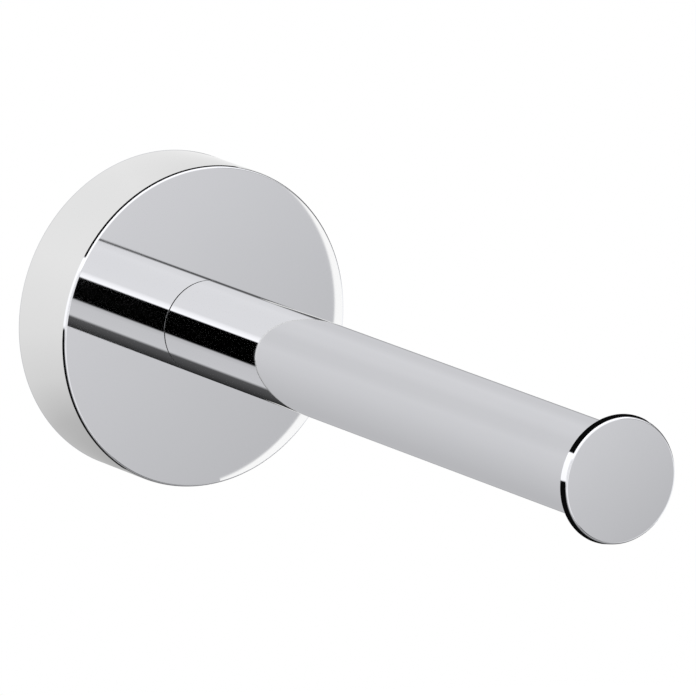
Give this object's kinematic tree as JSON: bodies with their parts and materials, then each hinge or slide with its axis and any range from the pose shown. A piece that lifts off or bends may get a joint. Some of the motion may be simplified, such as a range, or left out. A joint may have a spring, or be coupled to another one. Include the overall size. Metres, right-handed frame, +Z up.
{
  "type": "toilet paper holder",
  "caption": "Wall-mounted toilet paper holder: a round cup-shaped rosette with one straight horizontal post that ends in a thin, slightly wider disc.",
  "frame": {"origin": "centre of the rosette on the wall's surface, between the two wall plugs", "axes": "+Z up; the wall's surface is the plane Y = 0; the post points along -Y, into the room; +Y goes into the wall along the plugs"},
  "size_m": [0.055, 0.168, 0.055],
  "materials": {
    "chrome": "mirror-polished chrome plate",
    "zinc_casting": "as-cast zinc alloy, satin",
    "zinc_plated_steel": "bright zinc-plated steel",
    "stainless_steel": "turned stainless steel",
    "brass": "machined brass",
    "nylon": "moulded nylon, matte"
  },
  "bodies": {
    "wall_fixing": {"wall_plugs": "nylon", "wall_screws": "zinc_plated_steel", "screw_washers": "zinc_plated_steel", "wall_bracket": "zinc_casting"},
    "holder": {"rosette": "chrome", "clamp_screw": "zinc_plated_steel", "lock_washer": "zinc_plated_steel", "flat_washer": "zinc_plated_steel", "base_insert": "brass", "post_tube": "chrome", "end_insert": "brass", "end_disc": "chrome"},
    "grub_screw": {"grub_screw": "stainless_steel"}
  },
  "joints": [
    {"name": "holder_pull_off", "type": "slide", "parent": "wall_fixing", "child": "holder", "axis": [0, -1, 0], "range_m": [0, 0.012]},
    {"name": "grub_screw_travel", "type": "slide", "parent": "holder", "child": "grub_screw", "axis": [0, 0, -1], "range_m": [0, 0.003]}
  ]
}
